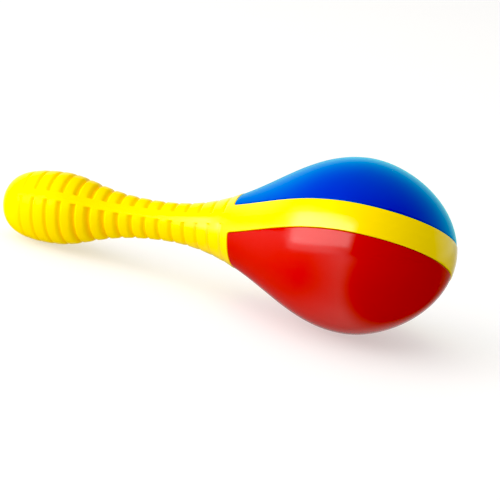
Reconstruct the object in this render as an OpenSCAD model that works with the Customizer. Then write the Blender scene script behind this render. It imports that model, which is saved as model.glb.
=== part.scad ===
// Toy maraca, lying on its head belly and its handle bulb.
// The long axis points along +X and climbs slightly towards the head. +Z is up.
// Two half frames meet on the plane of the hoop. Each holds one shell of the head.

/* [Overall] */
// Handle, from its rounded end to the edge of the collar
handle_length = 100; // [80:0.5:130]
// Head, from the edge of the collar to its tip
head_length = 85; // [70:0.5:110]
// Head, across its widest section
head_d = 67.2; // [55:0.2:84]
// Widest section of the head, measured back from the tip
head_widest = 38; // [30:0.2:46]

/* [Handle] */
// Bulb at the end of the handle, across
bulb_d = 28.8; // [24:0.2:36]
// Middle of the bulb, from the end of the handle
bulb_at = 22.8; // [18:0.2:28]
// Thinnest section of the handle, across
neck_d = 15.2; // [13:0.2:20]
// Thinnest section of the handle, measured back from the collar edge
neck_back = 31.5; // [26:0.1:40]
// Wall of the handle
handle_wall = 2.4; // [1.8:0.1:2.8]

/* [Grip grooves] */
// Number of grooves along the handle
groove_count = 16; // [6:1:18]
// First groove, measured from the end of the handle
groove_front = 11.9; // [10:0.1:16]
// Last groove, measured back from the collar edge
groove_back = 4; // [3:0.1:8]
// Radius of a groove's round bottom
groove_r = 1.1; // [0.7:0.1:1.6]
// Depth of the deepest groove
groove_deep = 0.9; // [0.5:0.05:1.1]
// Depth of the last groove, beside the collar
groove_shallow = 0.3; // [0.2:0.05:0.8]
// Place of the deepest groove, from the end of the handle
groove_peak = 40; // [28:1:60]
// Plain spine that interrupts the grooves, at the end of the handle
spine_w_end = 3.2; // [2:0.1:6]
// Plain spine that interrupts the grooves, at the collar
spine_w_neck = 4.2; // [2:0.1:8]

/* [Hoop and shells] */
// Width of the hoop that runs round the head
hoop_w = 11.2; // [8:0.1:18]
// Wall of the hoop
hoop_wall = 1.8; // [1.6:0.1:2.4]
// How far the hoop stands proud of the shells
hoop_proud = 0.3; // [0.2:0.05:0.8]
// Wall of each shell
shell_wall = 2; // [1.2:0.1:3]
// Rounding of each shell's corner beside the neck
corner_r = 0.9; // [0.4:0.1:3]
// Gap between a shell's edge and the hoop
edge_gap = 0.1; // [0.05:0.05:0.3]
// Reach of a shell's lip under the hoop and the collar
lip_reach = 2.4; // [1.5:0.1:3.5]
// How far the lip runs back under its own shell
lip_back = 1.8; // [1.2:0.1:3]
// Thickness of the lip
lip_t = 1.3; // [1:0.1:2]
// Gap between the lip and the inside of the hoop
lip_gap = 0.1; // [0.05:0.05:0.2]

/* [Seam] */
// Thickness of the tongue along the seam
tongue_t = 0.5; // [0.4:0.05:0.7]
// Height of the tongue
tongue_h = 0.9; // [0.6:0.1:1.4]
// Outside of the tongue, below the surface
tongue_in = 0.65; // [0.5:0.05:0.8]
// Gap round the tongue in its groove
tongue_gap = 0.08; // [0.05:0.01:0.12]
// Diameter of the locating pins
pin_d = 2.4; // [2:0.1:3]
// Length of the locating pins
pin_l = 3.2; // [2:0.1:4]
// Clearance round a pin in its socket
pin_gap = 0.1; // [0.05:0.05:0.2]
// Diameter of the bosses that carry pins and sockets
boss_d = 5; // [4.4:0.1:6]
// Room below a pin in its socket
pin_room = 0.6; // [0.2:0.1:1]
// Second pin, as a share of the way from the bulb to the neck
pin_share = 0.6; // [0.4:0.05:0.8]

/* [Bulkhead] */
// Thickness of the disc that closes the head off from the handle
disc_t = 1.5; // [1:0.1:2.5]
// Middle of the disc, measured back from the collar edge
disc_back = 9; // [7:0.1:14]
// Gap round and beside the disc
disc_gap = 0.1; // [0.05:0.05:0.2]
// Thickness of the two ribs that trap the disc
rib_t = 1.2; // [0.8:0.1:2]
// Height of those ribs above the inside of the handle
rib_h = 1.8; // [1:0.1:3]

/* [Pellets] */
// Diameter of a pellet
pellet_d = 5; // [3:0.1:6]
// Space between neighbouring pellets
pellet_space = 0.6; // [0.4:0.1:1.5]
// Gap that keeps each pellet clear of the wall
pellet_gap = 0.3; // [0.2:0.05:0.5]
// Rows of pellets across the head
pellet_rows = 5; // [3:1:5]
// Pellets in each row
pellet_row_len = 5; // [3:1:5]

/* [Stance] */
// Turn about the long axis that lifts the near side of the hoop
roll = 31; // [0:1:60]

/* [Hidden] */
function pellet_name(i) = str("pellet_", i < 10 ? "0" : "", i);

$fn = 96;
length = handle_length + head_length;
head_r = head_d / 2;
head_at = length - head_widest;
bulb_r = bulb_d / 2;
neck_r = neck_d / 2;
neck_at = handle_length - neck_back;
half_hoop = hoop_w / 2;
shell_in = hoop_proud + shell_wall;
lip_out = hoop_wall + lip_gap;
lip_in = lip_out + lip_t;
groove_pitch = (handle_length - groove_front - groove_back) / (groove_count - 1);
pin_at = [bulb_at, bulb_at + pin_share * (neck_at - bulb_at)];
pellet_pitch = pellet_d + pellet_space;
disc_at = handle_length - disc_back;
// How deep a boss or a rib sinks into the wall that it stands on
sink = handle_wall * 0.3;
// How much thicker the lip is where it backs its own shell
lip_root = 0.2;
// Room past the end of a lip
lip_room = 0.6;
// Larger than any half of the part, for cutting
far = length + head_d;

// ---- Outline: four Bezier curves between its widest and thinnest places ----

// Each row is the curve's four points and its number of steps, as [along, radius].
// The pulls are shares of the stretch that a curve spans.
function arms() = [
    [[0, 0], [0, 0.7 * bulb_r], [0.27 * bulb_at, bulb_r], [bulb_at, bulb_r], 12],
    [[bulb_at, bulb_r], [bulb_at + 0.3 * (neck_at - bulb_at), bulb_r],
        [neck_at - 0.6 * (neck_at - bulb_at), neck_r], [neck_at, neck_r], 14],
    [[neck_at, neck_r], [neck_at + 0.48 * (head_at - neck_at), neck_r],
        [head_at - 0.35 * (head_at - neck_at), head_r], [head_at, head_r], 20],
    [[head_at, head_r], [head_at + 0.42 * head_widest, head_r],
        [length, 0.59 * head_r], [length, 0], 16]];

function bez(c, t) = (1 - t) ^ 3 * c[0] + 3 * t * (1 - t) ^ 2 * c[1]
    + 3 * t ^ 2 * (1 - t) * c[2] + t ^ 3 * c[3];
function bez_way(c, t) = (1 - t) ^ 2 * (c[1] - c[0]) + 2 * t * (1 - t) * (c[2] - c[1])
    + t ^ 2 * (c[3] - c[2]);
// A point of the outline, moved square to the surface by inset
function inset_point(c, t, inset) = let (way = bez_way(c, t), size = norm(way))
    bez(c, t) + inset * [way.y, -way.x] / size;
// The whole outline at an inset, from the handle's end to the head's tip
function outline(inset) = [
    for (i = [0:3], c = [arms()[i]], k = [(i == 0 ? 0 : 1):c[4]])
        let (p = inset_point(c, k / c[4], inset)) [p.x, max(p.y, 0)]];
// Radius of an outline at a place along the axis
function radius_at(path, s) = lookup(s, path);
// The stretch of an outline between two places, with a point made at each cut
function stretch(path, from, to) = concat(
    from > path[0].x ? [[from, radius_at(path, from)]] : [],
    [for (p = path) if (p.x > from + 0.05 && p.x < to - 0.05) p],
    to < path[len(path) - 1].x ? [[to, radius_at(path, to)]] : []);
function reversed(path) = [for (i = [len(path) - 1:-1:0]) path[i]];

skin = outline(0);
handle_bore = outline(handle_wall);
hoop_bore = outline(hoop_wall);
shell_skin = outline(hoop_proud);

// ---- How it lies: the tilt at which head belly and handle bulb both touch ----

belly = [for (p = shell_skin) if (p.x > handle_length) p];
grip = [for (p = skin) if (p.x < neck_at) p];
// Lowest point of a path when the axis climbs at an angle
function lowest(path, angle) = min([for (p = path) p.x * sin(angle) - p.y * cos(angle)]);
function tilt_between(low, high, steps) = let (mid = (low + high) / 2) steps == 0 ? mid
    : lowest(belly, mid) > lowest(grip, mid) ? tilt_between(low, mid, steps - 1)
    : tilt_between(mid, high, steps - 1);
tilt = tilt_between(0, 30, 30);
floor_z = lowest(concat(belly, grip), tilt);
x_low = min([for (p = skin) p.x * cos(tilt) - p.y * sin(tilt)]);
x_high = max([for (p = skin) p.x * cos(tilt) + p.y * sin(tilt)]);
x_mid = (x_low + x_high) / 2;

// From the axis frame (X along the axis, Z square to the hoop) to the lying part
module lying() {
    translate([-x_mid, 0, -floor_z]) rotate([0, -tilt, 0]) rotate([-roll, 0, 0]) children();
}

// ---- Building blocks, all in the axis frame ----

// Solid of revolution about X from a closed path of [along, radius]
module turned(path) {
    rotate([0, 90, 0]) rotate_extrude() polygon([for (p = path) [p.y, p.x]]);
}

// Thin skin between two insets, closed at both ends
module layer(outer, inner) {
    turned(concat(outline(outer), reversed(outline(inner))));
}

// Upright prism from a plan of [along, square to the hoop], right across the part
module prism(plan) {
    rotate([90, 0, 0]) linear_extrude(height = far, center = true) polygon(plan);
}

// Edge of a shell in plan, grown past the shell by some distance. The corner's
// rounding grows with it, and is nearly sharp where the edge is drawn in past it.
function edge_plan(grow) = let (r = max(corner_r + grow, 0.05),
    x = handle_length + edge_gap - grow, z = half_hoop + edge_gap - grow) concat(
    [[x, far]],
    [for (a = [180:18:270]) [x + r + r * cos(a), z + r + r * sin(a)]],
    [[far, z]]);

// Everything past that edge
function shell_plan(grow) = concat(edge_plan(grow), [[far, far]]);

// Half of the handle and half of the hoop, above the seam
function frame_plan() = concat([[-1, 0], [-1, far]], edge_plan(edge_gap), [[far, 0]]);

// ---- Frame ----

// Wall of the whole frame: thicker in the handle, thinner where lips reach under it
module frame_wall() {
    seat = handle_length - lip_reach - lip_room;
    inside = concat(stretch(handle_bore, -1, seat), stretch(hoop_bore, seat, far));
    turned(concat(skin, reversed(inside)));
}

function groove_place(i) = groove_front + i * groove_pitch;
// Depth of groove number i: it fades towards the end and towards the collar
function groove_depth(i) = let (at = groove_place(i)) at < groove_peak
    ? groove_deep * at / groove_peak
    : groove_deep + (groove_shallow - groove_deep) * (at - groove_peak) / (handle_length - groove_peak);

// Rings that cut the grooves, stopped on each side of the spine
module groove_rings() {
    intersection() {
        rotate([0, 90, 0]) rotate_extrude()
            for (i = [0:groove_count - 1])
                translate([radius_at(skin, groove_place(i)) - groove_depth(i) + groove_r,
                    groove_place(i)]) circle(r = groove_r, $fn = 24);
        prism([[-1, spine_w_end / 2], [handle_length, spine_w_neck / 2],
            [handle_length, far], [-1, far]]);
    }
}

// Ribs that trap the bulkhead disc
module disc_ribs() {
    bore = radius_at(handle_bore, disc_at);
    off = disc_t / 2 + disc_gap;
    for (s = [disc_at - off - rib_t, disc_at + off])
        turned([[s, bore - rib_h], [s + rib_t, bore - rib_h],
            [s + rib_t, bore + sink + rib_t], [s, bore + sink]]);
}

// A boss from the seam out to the wall, at a place along the handle
module boss(at) {
    translate([at, 0, 0])
        cylinder(d = boss_d, h = radius_at(handle_bore, at) + sink, $fn = 32);
}

// Half of the frame above the seam, without tongue, pins or sockets
module frame_half() {
    difference() {
        union() {
            intersection() {
                union() {
                    frame_wall();
                    disc_ribs();
                }
                prism(frame_plan());
            }
            for (at = pin_at) boss(at);
        }
        groove_rings();
    }
}

// Rib along the seam: the tongue, or with a gap the groove that takes it
module tongue(gap, top) {
    intersection() {
        layer(tongue_in - gap, tongue_in + tongue_t + gap);
        translate([-1, -far / 2, -tongue_h - gap]) cube([far, far, tongue_h + gap + top]);
    }
}

module upper_frame() {
    color("gold") lying() {
        frame_half();
        tongue(0, tongue_h);
        for (at = pin_at) translate([at, 0, -pin_l])
            cylinder(d = pin_d, h = 2 * pin_l, $fn = 32);
    }
}

module lower_frame() {
    color("yellow") lying() difference() {
        mirror([0, 0, 1]) frame_half();
        tongue(tongue_gap, tongue_h);
        for (at = pin_at) translate([at, 0, -pin_l - pin_room])
            cylinder(d = pin_d + 2 * pin_gap, h = 2 * pin_l, $fn = 32);
    }
}

// ---- Shells ----

// Strip along a shell's edge, from one distance outside the edge to one inside it
module edge_strip(outside, inside) {
    difference() {
        prism(shell_plan(outside));
        prism(shell_plan(-inside));
    }
}

// One shell of the head above the hoop, with the lip that the hoop and collar cover
module shell() {
    intersection() {
        layer(hoop_proud, shell_in);
        prism(shell_plan(0));
    }
    intersection() {
        layer(lip_out, lip_in);
        edge_strip(lip_reach, lip_back / 2);
    }
    intersection() {
        layer(hoop_proud + shell_wall / 2, lip_in + lip_root);
        edge_strip(0, lip_back);
    }
}

module blue_shell() {
    color("royalblue") lying() shell();
}

module red_shell() {
    color("red") lying() mirror([0, 0, 1]) shell();
}

// ---- Bulkhead ----

module neck_disc() {
    color("whitesmoke") lying()
        translate([disc_at, 0, 0]) rotate([0, 90, 0])
            cylinder(r = radius_at(handle_bore, disc_at - disc_t / 2) - disc_gap,
                h = disc_t, center = true);
}

// ---- Pellets: each rests on the inside of the red shell, below its own way up ----

// Where a pellet's middle can be: the inside of the shells, less a pellet and its gap
pellet_room = [for (p = outline(shell_in + pellet_d / 2 + pellet_gap))
    if (p.x > handle_length) p];
// The pool gathers over the lowest place inside the head
pool_x = let (depths = [for (p = pellet_room) p.x * sin(tilt) - p.y * cos(tilt)],
    i = search(min(depths), depths)[0]) pellet_room[i].x * cos(tilt)
    + pellet_room[i].y * sin(tilt);

// Room left at a place, in the frame of the lying part before it is set on the floor
function room_at(x, y, z) = radius_at(pellet_room, x * cos(tilt) + z * sin(tilt))
    - norm([y, z * cos(tilt) - x * sin(tilt)]);
function rest_z(x, y, low, high, steps) = let (mid = (low + high) / 2)
    steps == 0 ? high
    : room_at(x, y, mid) > 0 ? rest_z(x, y, low, mid, steps - 1)
    : rest_z(x, y, mid, high, steps - 1);

function pellet_x(i) = let (row = floor(i / pellet_row_len), k = i % pellet_row_len)
    pool_x + (k - (pellet_row_len - 1) / 2 + (row % 2 == 0 ? -0.25 : 0.25)) * pellet_pitch;
function pellet_y(i) = let (row = floor(i / pellet_row_len))
    (row - (pellet_rows - 1) / 2) * pellet_pitch * cos(30);

module pellet(number) {
    x = pellet_x(number - 1);
    y = pellet_y(number - 1);
    axis_z = x * tan(tilt);
    z = rest_z(x, y, axis_z - head_d, axis_z, 30);
    color("silver") translate([x - x_mid, y, z - floor_z]) sphere(d = pellet_d, $fn = 32);
}

upper_frame();
lower_frame();
blue_shell();
red_shell();
neck_disc();
for (number = [1:pellet_rows * pellet_row_len])
    pellet(number);
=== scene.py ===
# %% [markdown]
# # A toy maraca in moulded plastic
# The maraca lies on its side, on the belly of its head and on the bulb of its handle.
# A yellow frame, moulded in two halves, makes the ribbed handle and a hoop round the
# head. A blue and a red shell sit in that hoop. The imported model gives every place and
# size, so it is loaded first and left alone, and the finer pieces are built around it.

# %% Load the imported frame
from math import cos, pi, radians, sin

import bpy
import numpy as np
from mathutils import Matrix, Vector


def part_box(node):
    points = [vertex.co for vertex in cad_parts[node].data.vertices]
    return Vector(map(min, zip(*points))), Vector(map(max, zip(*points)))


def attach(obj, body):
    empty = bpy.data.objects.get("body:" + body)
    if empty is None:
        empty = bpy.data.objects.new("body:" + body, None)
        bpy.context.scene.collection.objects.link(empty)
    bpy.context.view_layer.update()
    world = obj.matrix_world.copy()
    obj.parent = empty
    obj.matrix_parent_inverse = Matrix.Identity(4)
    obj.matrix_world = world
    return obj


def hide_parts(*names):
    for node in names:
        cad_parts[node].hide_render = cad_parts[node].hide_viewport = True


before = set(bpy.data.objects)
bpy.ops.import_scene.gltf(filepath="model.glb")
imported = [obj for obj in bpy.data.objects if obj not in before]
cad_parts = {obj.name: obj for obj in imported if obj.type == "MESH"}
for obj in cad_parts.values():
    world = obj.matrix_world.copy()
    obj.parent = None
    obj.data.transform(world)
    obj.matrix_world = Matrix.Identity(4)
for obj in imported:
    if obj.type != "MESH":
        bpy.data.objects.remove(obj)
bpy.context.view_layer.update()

# %% [markdown]
# ## The outline
# The whole toy is one turned shape: bulb, thin waist, egg-shaped head. Such a shape is
# drawn best as a half outline, because every other piece can then be cut from the same
# surface and will meet its neighbours exactly. Four Bezier curves join the places where
# the shape is widest and thinnest, and the pulls of each curve set how full it is.

# %% Sizes along the long axis, in metres
MM = 0.001
HANDLE = 100 * MM           # handle, from its rounded end to the collar's edge
HEAD = 85 * MM              # head, from the collar's edge to its tip
LENGTH = HANDLE + HEAD
HEAD_R = 33.6 * MM
HEAD_AT = LENGTH - 38 * MM  # widest section of the head
BULB_R = 14.4 * MM
BULB_AT = 22.8 * MM         # widest section of the bulb
NECK_R = 7.6 * MM
NECK_AT = HANDLE - 31.5 * MM  # thinnest section of the handle

# %% The half outline, as four Bezier curves
to_neck, to_head = NECK_AT - BULB_AT, HEAD_AT - NECK_AT
CURVES = [
    [(0, 0), (0, 0.7 * BULB_R), (0.27 * BULB_AT, BULB_R), (BULB_AT, BULB_R)],
    [(BULB_AT, BULB_R), (BULB_AT + 0.3 * to_neck, BULB_R),
     (NECK_AT - 0.6 * to_neck, NECK_R), (NECK_AT, NECK_R)],
    [(NECK_AT, NECK_R), (NECK_AT + 0.48 * to_head, NECK_R),
     (HEAD_AT - 0.35 * to_head, HEAD_R), (HEAD_AT, HEAD_R)],
    [(HEAD_AT, HEAD_R), (HEAD_AT + 0.42 * (LENGTH - HEAD_AT), HEAD_R),
     (LENGTH, 0.59 * HEAD_R), (LENGTH, 0)]]
CURVE_STEPS = 600


def bezier(points, share):
    """Points of one curve at shares from 0 to 1 of its way."""
    a, b, c, d = (np.array(p)[:, None] for p in points)
    rest = 1 - share
    return rest ** 3 * a + 3 * rest ** 2 * share * b + 3 * rest * share ** 2 * c + share ** 3 * d


shares = np.linspace(0, 1, CURVE_STEPS)
fine = np.hstack([bezier(c, shares)[:, (0 if i == 0 else 1):] for i, c in enumerate(CURVES)])
fine_x, fine_r = fine
fine_arc = np.concatenate([[0], np.cumsum(np.hypot(np.diff(fine_x), np.diff(fine_r)))])


def radius_at(x):
    """Radius of the outline at a place along the axis."""
    return np.interp(x, fine_x, fine_r)


print(f"outline: {fine_arc[-1] / MM:.1f} mm along the curve,",
      f"{radius_at(HANDLE) / MM:.2f} mm in radius at the collar")

# %% [markdown]
# ## The grip grooves
# Sixteen grooves ring the handle. They are deepest between bulb and waist, and faint at
# both ends of the row. A groove could be cut with a ring-shaped tool and a Boolean, but
# that leaves knife-sharp ribs. Real ribs are soft, so the skin gets extra rings of points
# where a groove will be, and those rings are pressed in later.

# %% Where the grooves are, and how they are shaped
GROOVES = 16
FIRST_GROOVE = 11.9 * MM
LAST_GROOVE = HANDLE - 4 * MM
DEEPEST_AT = 40 * MM
groove_x = np.linspace(FIRST_GROOVE, LAST_GROOVE, GROOVES)
# A groove sinks slowly from the end's side and rises steeply towards the head. These
# are its start, its deepest line and its end, from its middle, in half widths.
STARTS, DEEPEST, ENDS = -1.15, 0.5, 1.0
PAST_END = 0.3              # one more ring past a groove's end, in half widths
RIB_TOP = 0.6               # place of the ring on a rib's top, as a share of the pitch
CROWN = 0.12 * MM           # how much the top of a rib is rounded
# Width and depth grow from the rounded end up to the deepest place, then lessen again.
rise = np.clip(groove_x / DEEPEST_AT, 0, 1)
fall = np.clip((groove_x - DEEPEST_AT) / (HANDLE - DEEPEST_AT), 0, 1)
groove_half = (0.35 + 1.15 * rise - 0.75 * fall) * MM
groove_deep = (rise ** 0.85 - 0.95 * fall + 0.4 * fall ** 2) * MM
pitch = groove_x[1] - groove_x[0]

down, up = np.linspace(STARTS, DEEPEST, 8), np.linspace(DEEPEST, ENDS, 6)
in_groove = np.concatenate([down, up[1:], [ENDS + PAST_END]])
groove_places = np.concatenate([x + half * in_groove for x, half in zip(groove_x, groove_half)]
                               + [groove_x[:-1] + pitch * RIB_TOP])
print(f"grooves: {GROOVES} at a pitch of {pitch / MM:.2f} mm,",
      f"{groove_deep.max() / MM:.2f} mm deep at most")

# %% The stations where the skin gets a ring of points
HANDLE_STEP, HEAD_STEP = 0.55 * MM, 1.3 * MM
grip_end = groove_places.max() + HANDLE_STEP


def along_arc(start, end, step):
    """Places between two others on the axis, evenly spaced along the outline."""
    s0, s1 = np.interp([start, end], fine_x, fine_arc)
    return np.interp(np.linspace(s0, s1, int((s1 - s0) / step) + 2), fine_arc, fine_x)


stations = np.concatenate([along_arc(0, groove_places.min() - HANDLE_STEP, HANDLE_STEP),
                           groove_places, along_arc(grip_end, HANDLE, HANDLE_STEP),
                           along_arc(HANDLE + HEAD_STEP, LENGTH, HEAD_STEP)])
stations = np.unique(np.round(stations, 7))
print("stations:", len(stations))

# %% [markdown]
# ## Turning the skin
# The outline is drawn as a chain of points, one extrusion after another, and spun once
# about the long axis, as a potter would turn it. Spinning is chosen over joining rings
# because it keeps each ring perfectly round and costs a single step.

# %% Helpers that select by place, as a modeller would with a box
def only(obj):
    """Makes obj the one selected, active object."""
    bpy.ops.object.select_all(action="DESELECT")
    obj.select_set(True)
    bpy.context.view_layer.objects.active = obj
    return obj


def copied(obj):
    """A copy of obj with a mesh of its own, selected and active."""
    twin = obj.copy()
    twin.data = obj.data.copy()
    bpy.context.collection.objects.link(twin)
    return only(twin)


def mesh_points(obj):
    """The places of all points of a mesh, one row each."""
    points = np.empty(len(obj.data.vertices) * 3)
    obj.data.vertices.foreach_get("co", points)
    return points.reshape(-1, 3)


def pick(obj, what, test):
    """Selects the faces or edges whose middle passes test, and enters edit mode."""
    data = obj.data
    if what == "FACE":
        items = data.polygons
        middle = np.empty(len(items) * 3)
        items.foreach_get("center", middle)
        middle = middle.reshape(-1, 3)
    else:
        items = data.edges
        ends = np.empty(len(items) * 2, int)
        items.foreach_get("vertices", ends)
        middle = mesh_points(obj)[ends.reshape(-1, 2)].mean(axis=1)
    chosen = test(middle)
    for group in (data.vertices, data.edges, data.polygons):
        group.foreach_set("select", np.zeros(len(group), bool))
    items.foreach_set("select", chosen)
    bpy.ops.object.mode_set(mode="EDIT")
    bpy.ops.mesh.select_mode(type=what)
    bpy.ops.object.mode_set(mode="OBJECT")
    items.foreach_set("select", chosen)
    bpy.ops.object.mode_set(mode="EDIT")
    return int(chosen.sum())


# %% Draw the outline and spin it
ROUND = 120      # points in each ring, so that the seam plane falls on a row of points
bpy.ops.object.select_all(action="DESELECT")
bpy.ops.mesh.primitive_circle_add(vertices=3, radius=1 * MM, location=(0, 0, 0))
skin = bpy.context.active_object
skin.name = "turned_skin"
bpy.ops.object.mode_set(mode="EDIT")
bpy.ops.mesh.select_all(action="SELECT")
bpy.ops.mesh.merge(type="CENTER")
profile = np.column_stack([stations, radius_at(stations)])
profile[0], profile[-1] = (0, 0), (LENGTH, 0)
for step in np.diff(profile, axis=0):
    bpy.ops.mesh.extrude_vertices_move(TRANSFORM_OT_translate={"value": (step[0], 0, step[1])})
bpy.ops.mesh.select_all(action="SELECT")
bpy.ops.mesh.spin(steps=ROUND, angle=2 * pi, center=(0, 0, 0), axis=(1, 0, 0),
                  use_auto_merge=True)
bpy.ops.mesh.select_all(action="SELECT")
bpy.ops.mesh.remove_doubles(threshold=1e-6)
bpy.ops.mesh.normals_make_consistent(inside=False)
bpy.ops.object.mode_set(mode="OBJECT")
print("skin:", len(skin.data.vertices), "points,", len(skin.data.polygons), "faces")

# %% [markdown]
# ## Cutting the pieces apart
# Hoop and shells meet along planes beside the seam and at the collar. The skin is cut
# along those planes, and again a hair inside each cut, so that the edge of a piece can
# be rounded by lowering the last rows of points. That gives a clean moulded edge even
# where a plane crosses the turned grid at an angle, where a Bevel would tangle.

# %% Places of the cuts
HOOP_HALF = 5.6 * MM           # half the width of the hoop
GAP = 0.04 * MM                # gap between a shell's edge and the hoop
PROUD = 0.2 * MM               # how far the hoop stands proud of the shells
CORNER = 0.9 * MM              # rounding of a shell's corner beside the neck
SPINE_END, SPINE_NECK = 1.5 * MM, 2.0 * MM   # half width of the plain spine
SPINE_SOFT = 0.5 * MM          # the length over which a groove runs out at the spine
SPINE_CUTS = (0, 0.35, 0.7, 1)          # cuts beside the spine, as shares of that length
EDGE_SOFT, SHELL_SOFT = 0.25 * MM, 0.3 * MM      # rounding of the frame's and shells' edges
FRAME_BANDS = [-EDGE_SOFT, -0.12 * MM, -0.04 * MM, 0]        # cuts along the frame's edge
SHELL_BANDS = [0, 0.05 * MM, 0.15 * MM, SHELL_SOFT]          # cuts along a shell's edge
SHELLS_FROM = HANDLE - 4 * MM  # the shells' skin is kept from here on
spine_slope = (SPINE_NECK - SPINE_END) / HANDLE

# Only faces this near to a cut are cut, so that a plane spares the rest of the skin.
SPINE_REACH, EDGE_REACH, CORNER_REACH = 3 * MM, 4 * MM, 1.2 * MM
CORNER_TURNS = (22.5, 45, 67.5)         # the flats that make a round corner, in degrees
LEAST_CORNER = 0.1 * MM                 # a corner rounder than this gets those flats


def window_distance(points, margin):
    """Distance past the edge of the opening that takes a shell, negative outside it."""
    x = points[:, 0] - HANDLE - margin
    z = np.abs(points[:, 2]) - HOOP_HALF - margin
    radius = CORNER - margin
    inside = np.minimum(x, z)
    in_corner = (x < radius) & (z < radius)
    return np.where(in_corner, radius - np.hypot(radius - x, radius - z), inside)


def cut(obj, point, normal, near):
    """Cuts the faces near a place along a plane, and leaves both sides."""
    if pick(obj, "FACE", near):
        bpy.ops.mesh.bisect(plane_co=point, plane_no=normal, use_fill=False, threshold=1e-7)
    bpy.ops.object.mode_set(mode="OBJECT")


def cut_window(obj, margin, bands):
    """Cuts the outline of the opening, and parallel lines at the distances in bands."""
    for band in bands:
        x = HANDLE + margin + band
        z = HOOP_HALF + margin + band
        radius = CORNER - margin - band
        for side in (-1, 1):
            cut(obj, (0, 0, side * z), (0, 0, 1),
                lambda c: ((np.abs(c[:, 2] - side * z) < EDGE_REACH)
                           & (c[:, 0] > HANDLE - EDGE_REACH / 2)))
            cut(obj, (x, 0, 0), (1, 0, 0),
                lambda c: ((np.abs(c[:, 0] - x) < EDGE_REACH)
                           & (c[:, 2] * side > HOOP_HALF - EDGE_REACH / 2)))
            for turn in (CORNER_TURNS if radius > LEAST_CORNER else ()):
                way = np.array([cos(radians(turn)), 0, side * sin(radians(turn))])
                middle = np.array([x + radius, 0, side * (z + radius)])
                cut(obj, tuple(middle - way * radius), tuple(way),
                    lambda c: ((np.abs(c[:, 0] - x) < CORNER_REACH)
                               & (np.abs(c[:, 2] * side - z) < CORNER_REACH)))


# %% The skin for the frame: cut beside the spine and round the openings
frame_skin = copied(skin)
for share in SPINE_CUTS:
    for side in (-1, 1):
        start = SPINE_END + share * SPINE_SOFT
        cut(frame_skin, (0, 0, side * start), (-spine_slope, 0, side),
            lambda c: (c[:, 0] < HANDLE) & (np.abs(c[:, 2] * side - start) < SPINE_REACH))
cut_window(frame_skin, 0, FRAME_BANDS)
print("frame skin:", len(frame_skin.data.vertices), "points after the cuts")

# %% The skin for the shells: a little smaller, so that the hoop stands proud
shell_skin = copied(skin)
pick(shell_skin, "FACE", lambda c: c[:, 0] < SHELLS_FROM)
bpy.ops.mesh.delete(type="FACE")
bpy.ops.mesh.select_all(action="SELECT")
bpy.ops.transform.shrink_fatten(value=-PROUD)
bpy.ops.object.mode_set(mode="OBJECT")
cut_window(shell_skin, GAP, SHELL_BANDS)
shell_box = mesh_points(shell_skin)
print("shell skin:", len(shell_skin.data.vertices), "points, radius",
      round(np.hypot(shell_box[:, 1], shell_box[:, 2]).max() / MM, 2), "mm")

# %% [markdown]
# ## Giving each piece a wall
# A moulded piece is a thin wall. Solidify would also thicken the ribs inwards and fold
# them over themselves, so the inside is a plain copy of the cut skin, pushed in by the
# wall, and only the outside gets grooves and soft edges. Bridging the two along their
# open edges closes the solid, like the rim of a cup.

# %% Pressing a skin in by an amount that varies from point to point
def press(obj, depth, name):
    """Moves each point inwards by its own depth, through a painted Displace modifier."""
    most = float(depth.max())
    weights = np.round(depth / most, 3)
    group = obj.vertex_groups.new(name=name)
    for weight in np.unique(weights[weights > 0]):
        chosen = np.nonzero(weights == weight)[0]
        group.add([int(i) for i in chosen], float(weight), "REPLACE")
    only(obj)
    displace = obj.modifiers.new(name, "DISPLACE")
    displace.vertex_group, displace.mid_level, displace.strength = name, 0, -most
    displace.direction = "NORMAL"
    bpy.ops.object.modifier_apply(modifier=displace.name)
    obj.vertex_groups.remove(obj.vertex_groups[name])
    print(f"  {name}: up to {most / MM:.2f} mm on {int((depth > 0).sum())} points")


def soft_step(value):
    """A smooth way from 0 to 1."""
    value = np.clip(value, 0, 1)
    return value * value * (3 - 2 * value)


def rounding(distance, radius):
    """How far a rounded edge falls away, at a distance in from that edge."""
    short = np.clip(1 - distance / radius, 0, 1)
    return radius * (1 - np.sqrt(1 - short ** 2))


def groove_depth(points):
    """How deep each point of the handle lies in a groove, or on a rib's crowned top."""
    x, z = points[:, 0], np.abs(points[:, 2])
    nearest = np.abs(x[:, None] - groove_x).argmin(axis=1)
    deep = groove_deep[nearest]
    place = (x - groove_x[nearest]) / groove_half[nearest] - DEEPEST
    dip = 1 - soft_step(np.where(place < 0, place / (STARTS - DEEPEST), place / (ENDS - DEEPEST)))
    crown = CROWN * (1 + np.cos(2 * pi * (x - groove_x[nearest]) / pitch)) / 2
    in_row = (x > FIRST_GROOVE - pitch / 2) & (x < LAST_GROOVE + pitch / 2)
    drop = (deep * dip + crown * deep / groove_deep.max()) * in_row
    past_spine = (z - SPINE_END - spine_slope * x) / SPINE_SOFT
    return drop * soft_step(past_spine)


# %% Closing a cut skin into a walled piece
SMOOTH_UP_TO = radians(38)     # edges sharper than this stay sharp in the shading


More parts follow.
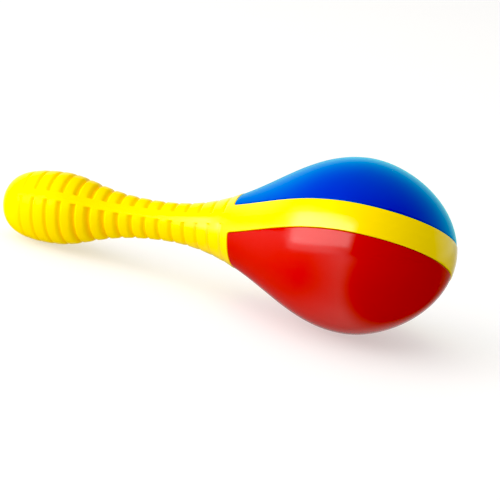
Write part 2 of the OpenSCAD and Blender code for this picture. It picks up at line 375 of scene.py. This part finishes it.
def walled(source, name, keep, wall, depth, seam_at):
    """A solid piece: the kept part of a skin outside, the same pushed in by wall inside."""
    outside = copied(source)
    outside.name = outside.data.name = name
    pick(outside, "FACE", lambda c: ~keep(c))
    bpy.ops.mesh.delete(type="FACE")
    bpy.ops.object.mode_set(mode="OBJECT")
    inside = copied(outside)
    bpy.ops.object.mode_set(mode="EDIT")
    bpy.ops.mesh.select_all(action="SELECT")
    bpy.ops.transform.shrink_fatten(value=-wall)
    bpy.ops.mesh.flip_normals()
    bpy.ops.object.mode_set(mode="OBJECT")

    # The materials paint shade where this attribute says the skin is pressed in: grooves and
    # rounded edges.
    shade = outside.data.attributes.new("pressed", "FLOAT", "POINT")
    amount = depth(mesh_points(outside))
    shade.data.foreach_set("value", np.clip(amount / groove_deep.max(), 0, 1).astype(np.float32))
    press(outside, amount, name + "_pressed")
    only(outside)
    inside.select_set(True)
    bpy.ops.object.join()
    for at_seam in (True, False):
        bridge_rims(outside, at_seam, seam_at)
    bpy.ops.object.mode_set(mode="EDIT")
    bpy.ops.mesh.select_all(action="SELECT")
    bpy.ops.mesh.remove_doubles(threshold=1e-7)
    bpy.ops.mesh.normals_make_consistent(inside=False)
    bpy.ops.object.mode_set(mode="OBJECT")
    bpy.ops.object.shade_smooth_by_angle(angle=SMOOTH_UP_TO)
    return outside


def bridge_rims(obj, at_seam, seam_at):
    """Joins the outer and inner open edge, at the seam or round the opening."""
    only(obj)
    bpy.ops.object.mode_set(mode="EDIT")
    bpy.ops.mesh.select_mode(type="EDGE")
    bpy.ops.mesh.select_all(action="DESELECT")
    bpy.ops.mesh.select_non_manifold(extend=False, use_wire=False, use_multi_face=False,
                                     use_non_contiguous=False, use_verts=False)
    bpy.ops.object.mode_set(mode="OBJECT")
    open_edges = np.empty(len(obj.data.edges), bool)
    obj.data.edges.foreach_get("select", open_edges)
    count = pick(obj, "EDGE", lambda m: open_edges & (seam_at(m) == at_seam))
    if count:
        bpy.ops.mesh.bridge_edge_loops()
        print(f"  bridged {count} edges")
    bpy.ops.object.mode_set(mode="OBJECT")


def report(obj):
    """Prints a finished piece's size and whether its surface is closed."""
    faces_on_edge = np.zeros(len(obj.data.edges), int)
    loops = np.empty(len(obj.data.loops), int)
    obj.data.loops.foreach_get("edge_index", loops)
    np.add.at(faces_on_edge, loops, 1)
    size = np.ptp(mesh_points(obj), axis=0)
    print(f"{obj.name}: {len(obj.data.polygons)} faces,",
          f"{int((faces_on_edge != 2).sum())} open edges,",
          "size", [round(float(s) / MM, 2) for s in size], "mm")


# %% [markdown]
# ## The two half frames
# Each half frame is half of the handle and half of the hoop. They meet on the seam
# plane, which runs along the plain spine and the middle of the hoop. The lower half is
# the same moulding with the other side kept, so one recipe makes both.

# %% Upper and lower frame
FRAME_WALL = 1.8 * MM
AT_SEAM = 0.4 * MM             # open edges this near to the seam plane belong to the seam


def frame_press(points):
    """How far the frame's points go in: its grooves, and the rounded edge of its openings."""
    edge = -window_distance(points, 0)
    return groove_depth(points) + rounding(np.clip(edge, 0, None), EDGE_SOFT) * (edge < EDGE_SOFT)


def half_frame(name, side):
    """The frame's half on one side of the seam plane."""
    return walled(frame_skin, name,
                  lambda c: (c[:, 2] * side > 0) & (window_distance(c, 0) < 0),
                  FRAME_WALL, frame_press, lambda m: np.abs(m[:, 2]) < AT_SEAM)


upper_frame = half_frame("upper_frame_moulding", 1)
lower_frame = half_frame("lower_frame_moulding", -1)
report(upper_frame)
report(lower_frame)

# %% [markdown]
# ## The two shells
# drops into the opening. The thin shadow line round it is the gap between the two, with a
# little painted shade on the rounded edge.

# %% Blue and red shell
SHELL_WALL = 2 * MM


def shell_press(points):
    """How far a shell's points go in: only the rounded edge all round."""
    return rounding(np.clip(window_distance(points, GAP), 0, None), SHELL_SOFT)


def half_shell(name, side):
    """The shell that fills the opening on one side of the hoop."""
    return walled(shell_skin, name,
                  lambda c: (c[:, 2] * side > 0) & (window_distance(c, GAP) > 0),
                  SHELL_WALL, shell_press, lambda m: np.zeros(len(m), bool))


blue_shell = half_shell("blue_shell_moulding", 1)
red_shell = half_shell("red_shell_moulding", -1)
report(blue_shell)
report(red_shell)
for helper in (skin, frame_skin, shell_skin):
    bpy.data.objects.remove(helper)

# %% [markdown]
# ## Laying the maraca down
# Up to here the long axis is level. The real toy rests where belly and bulb both touch
# the ground, and it has rolled so far that the near side of the hoop faces half up. The
# turn is put into the meshes, so each object stays unturned at the origin.

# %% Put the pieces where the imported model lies
TILT, ROLL = radians(8.51412), radians(31)
pieces = [upper_frame, lower_frame, blue_shell, red_shell]
STANDS_FOR = ["upper_frame", "lower_frame", "blue_shell", "red_shell"]
belly = fine_x * sin(TILT) - (fine_r - PROUD * (fine_x > HANDLE)) * cos(TILT)
middle_x = ((fine_x * cos(TILT) - fine_r * sin(TILT)).min()
            + (fine_x * cos(TILT) + fine_r * sin(TILT)).max()) / 2
lying = (Matrix.Translation((-middle_x, 0, -belly.min()))
         @ Matrix.Rotation(-TILT, 4, "Y") @ Matrix.Rotation(-ROLL, 4, "X"))
for piece, node in zip(pieces, STANDS_FOR):
    piece.matrix_world = lying
    only(piece)
    bpy.ops.object.transform_apply(location=True, rotation=True, scale=True)
    low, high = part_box(node)
    points = mesh_points(piece)
    off = max(np.abs(points.min(axis=0) - low).max(), np.abs(points.max(axis=0) - high).max())
    print(f"{piece.name}: box within {off / MM:.2f} mm of its CAD node's")

# %% Attach each piece to the casing body, and hide the imported node it takes the place of
SLOTS = ["yellow_plastic", "yellow_plastic", "blue_plastic", "red_plastic"]
for piece, node, slot in zip(pieces, STANDS_FOR, SLOTS):
    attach(piece, "casing")
    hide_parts(node)

# %% [markdown]
# ## Effects that the plastics share
# Moulded plastic is never one flat colour. Pigment is a little uneven, handling leaves
# hair-thin scratches, and the mould itself leaves a faint ripple. Each effect is a node
# group with named inputs, built once here and placed in the materials that use it, with its
# values.

# %% Helpers for node groups
def new_group(name, inputs, outputs):
    """An empty node group with named sockets, and its nodes to build with."""
    group = bpy.data.node_groups.new(name, "ShaderNodeTree")
    for label, kind, value in inputs:
        socket = group.interface.new_socket(name=label, in_out="INPUT",
                                            socket_type="NodeSocket" + kind)
        socket.default_value = value
    for label, kind in outputs:
        group.interface.new_socket(name=label, in_out="OUTPUT", socket_type="NodeSocket" + kind)
    return group, group.nodes.new("NodeGroupInput"), group.nodes.new("NodeGroupOutput")


def add(tree, kind, **settings):
    """A node with its settings, and with values for the inputs named in them."""
    node = tree.nodes.new("ShaderNode" + kind)
    for key, value in settings.items():
        if key.startswith("in_"):
            node.inputs[int(key[3:])].default_value = value
        else:
            setattr(node, key, value)
    return node


def link(tree, source, target):
    """Joins an output of one node to an input of another."""
    tree.links.new(source, target)


# %% Uneven pigment: slow clouds and fine flecks in the colour
pigment, inside, outside = new_group(
    "uneven_pigment",
    [("Color", "Color", (1, 1, 1, 1)), ("Deep Color", "Color", (0.5, 0.5, 0.5, 1)),
     ("Amount", "Float", 0.1), ("Size", "Float", 30.0)], [("Color", "Color")])
coords = add(pigment, "TexCoord")
clouds = add(pigment, "TexNoise", in_3=3.0, in_4=0.55)
flecks = add(pigment, "TexNoise", in_3=2.0, in_4=0.5)
finer = add(pigment, "Math", operation="MULTIPLY", in_1=14.0)
both = add(pigment, "Math", operation="MULTIPLY_ADD", in_1=0.35)
share = add(pigment, "Math", operation="MULTIPLY", use_clamp=True)
blend = add(pigment, "Mix", data_type="RGBA")
link(pigment, coords.outputs["Object"], clouds.inputs["Vector"])
link(pigment, coords.outputs["Object"], flecks.inputs["Vector"])
link(pigment, inside.outputs["Size"], clouds.inputs["Scale"])
link(pigment, inside.outputs["Size"], finer.inputs[0])
link(pigment, finer.outputs[0], flecks.inputs["Scale"])
link(pigment, flecks.outputs["Fac"], both.inputs[0])
link(pigment, clouds.outputs["Fac"], both.inputs[2])
link(pigment, both.outputs[0], share.inputs[0])
link(pigment, inside.outputs["Amount"], share.inputs[1])
link(pigment, share.outputs[0], blend.inputs["Factor"])
link(pigment, inside.outputs["Color"], blend.inputs[6])
link(pigment, inside.outputs["Deep Color"], blend.inputs[7])
link(pigment, blend.outputs[2], outside.inputs["Color"])
print("group:", pigment.name)

# %% Handling marks: thin scratches that lie in two directions
marks, inside, outside = new_group(
    "handling_marks", [("Size", "Float", 60.0), ("Rarity", "Float", 0.62)],
    [("Mask", "Float")])
coords = add(marks, "TexCoord")
found = []
for turn, stretch in ((0.5, (1, 0.06, 1)), (2.1, (0.08, 1, 1))):
    place = add(marks, "Mapping")
    place.inputs["Rotation"].default_value = (turn, turn / 2, turn / 3)
    place.inputs["Scale"].default_value = stretch
    lines = add(marks, "TexVoronoi", feature="DISTANCE_TO_EDGE")
    thin = add(marks, "MapRange", in_1=0.0, in_2=0.018, in_3=1.0, in_4=0.0)
    link(marks, coords.outputs["Object"], place.inputs["Vector"])
    link(marks, place.outputs["Vector"], lines.inputs["Vector"])
    link(marks, inside.outputs["Size"], lines.inputs["Scale"])
    link(marks, lines.outputs["Distance"], thin.inputs["Value"])
    found.append(thin.outputs["Result"])
either = add(marks, "Math", operation="MAXIMUM")
patches = add(marks, "TexNoise", in_2=45.0, in_3=2.0)
rare = add(marks, "MapRange", in_2=0.75)
few = add(marks, "Math", operation="MULTIPLY")
link(marks, found[0], either.inputs[0])
link(marks, found[1], either.inputs[1])
link(marks, coords.outputs["Object"], patches.inputs["Vector"])
link(marks, patches.outputs["Fac"], rare.inputs["Value"])
link(marks, inside.outputs["Rarity"], rare.inputs["From Min"])
link(marks, either.outputs[0], few.inputs[0])
link(marks, rare.outputs["Result"], few.inputs[1])
link(marks, few.outputs[0], outside.inputs["Mask"])
print("group:", marks.name)

# %% Mould surface: a faint orange-peel ripple, with the scratches pressed in
peel, inside, outside = new_group(
    "mould_surface",
    [("Scratches", "Float", 0.0), ("Ripple Size", "Float", 350.0), ("Ripple", "Float", 0.5)],
    [("Height", "Float")])
coords = add(peel, "TexCoord")
ripple = add(peel, "TexNoise", in_3=2.0, in_4=0.45)
raised = add(peel, "Math", operation="MULTIPLY")
height = add(peel, "Math", operation="SUBTRACT")
link(peel, coords.outputs["Object"], ripple.inputs["Vector"])
link(peel, inside.outputs["Ripple Size"], ripple.inputs["Scale"])
link(peel, ripple.outputs["Fac"], raised.inputs[0])
link(peel, inside.outputs["Ripple"], raised.inputs[1])
link(peel, raised.outputs[0], height.inputs[0])
link(peel, inside.outputs["Scratches"], height.inputs[1])
link(peel, height.outputs[0], outside.inputs["Height"])
print("group:", peel.name)

# %% [markdown]
# ## The plastics
# The plastics differ in pigment and gloss but not in what makes them up, so one recipe
# serves all. The base colour goes through the uneven pigment, and the roughness rises
# where the plastic is scratched. Yellow is less polished. Each plastic gets a painted shade,
# a darker, warmer tone, in its grooves and on pressed-in edges, for light bounced there.

# %% One recipe for moulded plastic
def new_material(name):
    """A material, its nodes and its Principled shader."""
    material = bpy.data.materials.new(name)
    material.use_nodes = True
    return material, material.node_tree, material.node_tree.nodes["Principled BSDF"]


def group_node(tree, group, **values):
    """A node group placed in a material, with values for the inputs named in them."""
    node = tree.nodes.new("ShaderNodeGroup")
    node.node_tree = group
    for key, value in values.items():
        node.inputs[key.replace("_", " ")].default_value = value
    return node


SCRATCH_DULLS = 0.18           # roughness that a scratch adds
BUMP_HEIGHT = 0.05 * MM        # height of the ripple and the scratches


def moulded_plastic(name, colour, deep, groove, rough, specular, bump):
    """Glossy moulded plastic. groove is a painted shade: the colour mixed in where the skin is
    pressed in.
    """
    material, tree, shader = new_material(name)
    tone = group_node(tree, pigment, Color=(*colour, 1), Deep_Color=(*deep, 1),
                      Amount=0.35, Size=28.0)
    scratch = group_node(tree, marks, Size=70.0, Rarity=0.6)
    # Painted shade: the groove colour darkens the grooves and rounded edges, where the skin was
    # pressed in.
    pressed = add(tree, "Attribute", attribute_name="pressed")
    shade_share = add(tree, "MapRange", in_1=0.15, in_2=1.0, in_4=0.85)
    recess_shaded = add(tree, "Mix", data_type="RGBA")
    recess_shaded.inputs[7].default_value = (*groove, 1)
    dull = add(tree, "MapRange", in_3=rough, in_4=rough + SCRATCH_DULLS)
    relief = group_node(tree, peel, Ripple_Size=420.0, Ripple=0.6)
    skin_bump = add(tree, "Bump")
    skin_bump.inputs["Strength"].default_value = bump
    skin_bump.inputs["Distance"].default_value = BUMP_HEIGHT
    link(tree, pressed.outputs["Fac"], shade_share.inputs["Value"])
    link(tree, shade_share.outputs["Result"], recess_shaded.inputs["Factor"])
    link(tree, tone.outputs["Color"], recess_shaded.inputs[6])
    link(tree, recess_shaded.outputs[2], shader.inputs["Base Color"])
    link(tree, scratch.outputs["Mask"], dull.inputs["Value"])
    link(tree, dull.outputs["Result"], shader.inputs["Roughness"])
    link(tree, scratch.outputs["Mask"], relief.inputs["Scratches"])
    link(tree, relief.outputs["Height"], skin_bump.inputs["Height"])
    link(tree, skin_bump.outputs["Normal"], shader.inputs["Normal"])
    shader.inputs["Specular IOR Level"].default_value = specular
    return material


# The groove colours below are painted shade for the pressed-in places, not dirt.
yellow = moulded_plastic("yellow_polypropylene", colour=(0.9, 0.67, 0.0),
                         deep=(0.86, 0.61, 0.0), groove=(0.87, 0.48, 0.0),
                         rough=0.3, specular=0.1, bump=0.3)
blue = moulded_plastic("blue_styrene", colour=(0.0, 0.018, 0.47),
                       deep=(0.0, 0.012, 0.44), groove=(0.0, 0.01, 0.35),
                       rough=0.2, specular=0.4, bump=0.12)
red = moulded_plastic("red_styrene", colour=(0.54, 0.009, 0.007),
                      deep=(0.5, 0.007, 0.005), groove=(0.36, 0.004, 0.003),
                      rough=0.15, specular=0.4, bump=0.12)
bloom = blue.node_tree.nodes["Principled BSDF"].inputs
bloom["Sheen Weight"].default_value = 0.85     # the blue turns paler where it slopes away
bloom["Sheen Roughness"].default_value = 0.45
bloom["Sheen Tint"].default_value = (0.0, 0.66, 0.55, 1)

# %% The hoop keeps the mould's polish, and hands have dulled the grip
POLISH_FROM, POLISH_FULL = -30 * MM, 18 * MM     # places along X
tree = yellow.node_tree
shader = tree.nodes["Principled BSDF"]
coords, parts = add(tree, "TexCoord"), add(tree, "SeparateXYZ")
polish = add(tree, "MapRange", interpolation_type="SMOOTHSTEP",
             in_1=POLISH_FROM, in_2=POLISH_FULL)
link(tree, coords.outputs["Object"], parts.inputs["Vector"])
link(tree, parts.outputs["X"], polish.inputs["Value"])
link(tree, polish.outputs["Result"], shader.inputs["Coat Weight"])
shader.inputs["Coat Roughness"].default_value = 0.17
for piece, material in zip(pieces, (yellow, yellow, blue, red)):
    piece.data.materials.clear()
    piece.data.materials.append(material)
print("plastics:", [m.name for m in (yellow, blue, red)])

# %% [markdown]
# ## What is inside
# The pellets and the disc that keeps them in the head are hidden by the shells. They
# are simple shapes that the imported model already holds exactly, so they keep its mesh
# and only get a finish: tumbled steel for the pellets, milky plastic for the disc.

# %% Steel for the pellets and plain plastic for the disc
steel, tree, shader = new_material("tumbled_steel")
tone = group_node(tree, pigment, Color=(0.52, 0.5, 0.48, 1), Deep_Color=(0.36, 0.35, 0.34, 1),
                  Amount=0.8, Size=220.0)
scratch = group_node(tree, marks, Size=400.0, Rarity=0.45)
dull = add(tree, "MapRange", in_3=0.25, in_4=0.5)
link(tree, tone.outputs["Color"], shader.inputs["Base Color"])
link(tree, scratch.outputs["Mask"], dull.inputs["Value"])
link(tree, dull.outputs["Result"], shader.inputs["Roughness"])
shader.inputs["Metallic"].default_value = 1.0
natural = moulded_plastic("natural_polypropylene", colour=(0.8, 0.79, 0.74),
                          deep=(0.72, 0.7, 0.63), groove=(0.6, 0.58, 0.5),
                          rough=0.45, specular=0.4, bump=0.2)
for name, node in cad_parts.items():
    if name.startswith("pellet_") or name == "neck_disc":
        node.data.materials.clear()
        node.data.materials.append(steel if name.startswith("pellet_") else natural)
print("hidden parts given a finish:", sum(n.startswith("pellet_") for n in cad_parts) + 1)

# %% [markdown]
# ## Floor, light and camera
# The toy lies in a bright studio: the floor burns out to white, a large window on the
# left leaves a soft rectangle on the red shell, and far less light comes from the right,
# so the head turns darker there. What lights the toy and what its gloss mirrors are set
# apart, because each can then be tuned alone. Soft boxes and a smooth sky do the lighting,
# and the gloss sees the window and surroundings of its own.

# %% Pale floor, which glows a little so that shadows on it stay faint
bpy.ops.object.select_all(action="DESELECT")
bpy.ops.mesh.primitive_plane_add(size=8, location=(0, 0, 0))
floor = bpy.context.active_object
floor.name = "floor"
floor.visible_glossy = False    # the gloss mirrors the lit floor in the world instead
paper, tree, shader = new_material("warm_white_paper")
tone = group_node(tree, pigment, Color=(0.46, 0.46, 0.455, 1),
                  Deep_Color=(0.45, 0.445, 0.44, 1), Amount=0.3, Size=9.0)
link(tree, tone.outputs["Color"], shader.inputs["Base Color"])
shader.inputs["Roughness"].default_value = 0.8
shader.inputs["Specular IOR Level"].default_value = 0.1
shader.inputs["Emission Color"].default_value = (1, 1, 0.99, 1)
shader.inputs["Emission Strength"].default_value = 0.5
floor.data.materials.append(paper)

# %% The world's nodes, and two helpers to shape its brightness
world = bpy.data.worlds.new("studio")
bpy.context.scene.world = world
world.use_nodes = True
sky = world.node_tree
background = sky.nodes["Background"]
coords = add(sky, "TexCoord")
direction = add(sky, "SeparateXYZ")
link(sky, coords.outputs["Generated"], direction.inputs["Vector"])


def level(axis, start, end, at_start, at_end):
    """A brightness that goes from one level to another along a part of a direction."""
    node = add(sky, "MapRange", in_1=start, in_2=end, in_3=at_start, in_4=at_end)
    link(sky, direction.outputs[axis], node.inputs["Value"])
    return node.outputs["Result"]


def combined(operation, first, second):
    """Two brightnesses put together by a sum, a product or the like."""
    node = add(sky, "Math", operation=operation)
    link(sky, first, node.inputs[0])
    link(sky, second, node.inputs[1])
    return node.outputs[0]


# %% Sky for what it lights: smooth, and dimmer towards the right and the front
lighting = combined("MULTIPLY", level("X", -0.4, 0.6, 1.32, 0.34), level("Y", -0.9, 0.2, 0.72, 1))

# %% Surroundings that the gloss mirrors: a blue sky behind, and a floor lit from the left
over_horizon = level("Z", -0.2, 0.0, 0, 1)
walls = combined("MULTIPLY", level("Y", -0.1, 0.5, 0.1, 1.0), level("Z", 0.35, 0.85, 1, 0.12))
left_floor = combined("MULTIPLY", level("X", 0.02, 0.34, 1, 0), level("X", -0.6, 0.1, 0.25, 1.4))
in_front = combined("MULTIPLY", left_floor, level("Y", -0.1, 0.5, 1, 0.3))
lit_floor = combined("ADD", in_front, level("Z", -0.6, 0, 0.12, 0.6))
under_horizon = combined("MULTIPLY", lit_floor, level("Z", 0.0, 0.08, 1, 0))
mirrored = combined("MAXIMUM", combined("MULTIPLY", walls, over_horizon), under_horizon)

# %% The world shows one to the gloss and the other to all else
ray = add(sky, "LightPath")
strength = add(sky, "Mix", data_type="FLOAT")
link(sky, ray.outputs["Is Glossy Ray"], strength.inputs[0])
link(sky, lighting, strength.inputs[2])
link(sky, mirrored, strength.inputs[3])
link(sky, strength.outputs[0], background.inputs["Strength"])
warmth = add(sky, "Mix", data_type="RGBA")
warmth.inputs[6].default_value = (1, 1, 1, 1)
warmth.inputs[7].default_value = (1, 0.84, 0.72, 1)
sky_tint = add(sky, "Mix", data_type="RGBA")
sky_tint.inputs[7].default_value = (0.75, 0.92, 1, 1)
link(sky, level("X", -0.2, 0.7, 0, 1), warmth.inputs[0])
link(sky, combined("MULTIPLY", ray.outputs["Is Glossy Ray"], over_horizon), sky_tint.inputs[0])
link(sky, warmth.outputs[2], sky_tint.inputs[6])
link(sky, sky_tint.outputs[2], background.inputs["Color"])
print("world nodes:", len(sky.nodes))

# %% A window that the gloss mirrors, and soft boxes that only light
HEAD_MIDDLE = Vector((0.05, 0, 0.035))
WINDOW_TURN = 15.7             # degrees, so that the window's mirror image follows the hoop


def soft_light(name, azimuth, height, distance, size, radiance, turn=0, mirrored=False):
    """A rectangular light that faces the head. Azimuth runs from +Y towards +X, in degrees."""
    data = bpy.data.lights.new(name, "AREA")
    data.shape, data.size, data.size_y = "RECTANGLE", size[0], size[1]
    data.energy = radiance * pi * size[0] * size[1]
    light = bpy.data.objects.new(name, data)
    bpy.context.collection.objects.link(light)
    way = Vector((sin(radians(azimuth)) * cos(radians(height)),
                  cos(radians(azimuth)) * cos(radians(height)), sin(radians(height))))
    light.location = HEAD_MIDDLE + way * distance
    light.rotation_mode = "QUATERNION"
    light.rotation_quaternion = (way.to_track_quat("Z", "Y")
                                 @ Matrix.Rotation(radians(turn), 4, "Z").to_quaternion())
    light.visible_glossy, light.visible_diffuse = mirrored, not mirrored
    return light


soft_light("window", azimuth=-149, height=19.5, distance=0.9, size=(1.2, 0.55),
           radiance=3.6, turn=WINDOW_TURN, mirrored=True)
soft_light("window_glow", azimuth=-149, height=18.2, distance=0.95, size=(1.5, 0.85),
           radiance=1.3, turn=WINDOW_TURN, mirrored=True)
soft_light("left_soft_box", azimuth=-128, height=15, distance=1.5, size=(1.4, 1.0),
           radiance=3.9)
soft_light("overhead_soft_box", azimuth=-140, height=70, distance=1.8, size=(2.2, 2.2),
           radiance=1.0)

# %% Camera: a long lens, a little above the toy, leaning to one side
CAMERA_AT = Vector((0.23791, -0.68693, 0.21983))
AIM = Vector((0.01194, 0.00228, 0.01963))
LEAN = radians(11.203)
SENSOR, LENS = 36, 140.66      # width of the sensor and focal length, in millimetres
camera_data = bpy.data.cameras.new("camera")
camera_data.sensor_width, camera_data.lens = SENSOR, LENS
camera_data.clip_start, camera_data.clip_end = 0.01, 50
camera = bpy.data.objects.new("camera", camera_data)
bpy.context.collection.objects.link(camera)
camera.location = CAMERA_AT
camera.rotation_mode = "QUATERNION"
camera.rotation_quaternion = ((AIM - CAMERA_AT).to_track_quat("-Z", "Y")
                              @ Matrix.Rotation(LEAN, 4, "Z").to_quaternion())
bpy.context.scene.camera = camera
print("camera up:", [round(x, 3) for x in camera.rotation_quaternion @ Vector((0, 1, 0))])

# %% A plain view, with a black level that keeps the plastics' colours pure
settings = bpy.context.scene.view_settings
settings.view_transform = "Standard"
settings.use_curve_mapping = True
settings.curve_mapping.black_level = (0.09, 0.03, 0.035)
settings.curve_mapping.update()
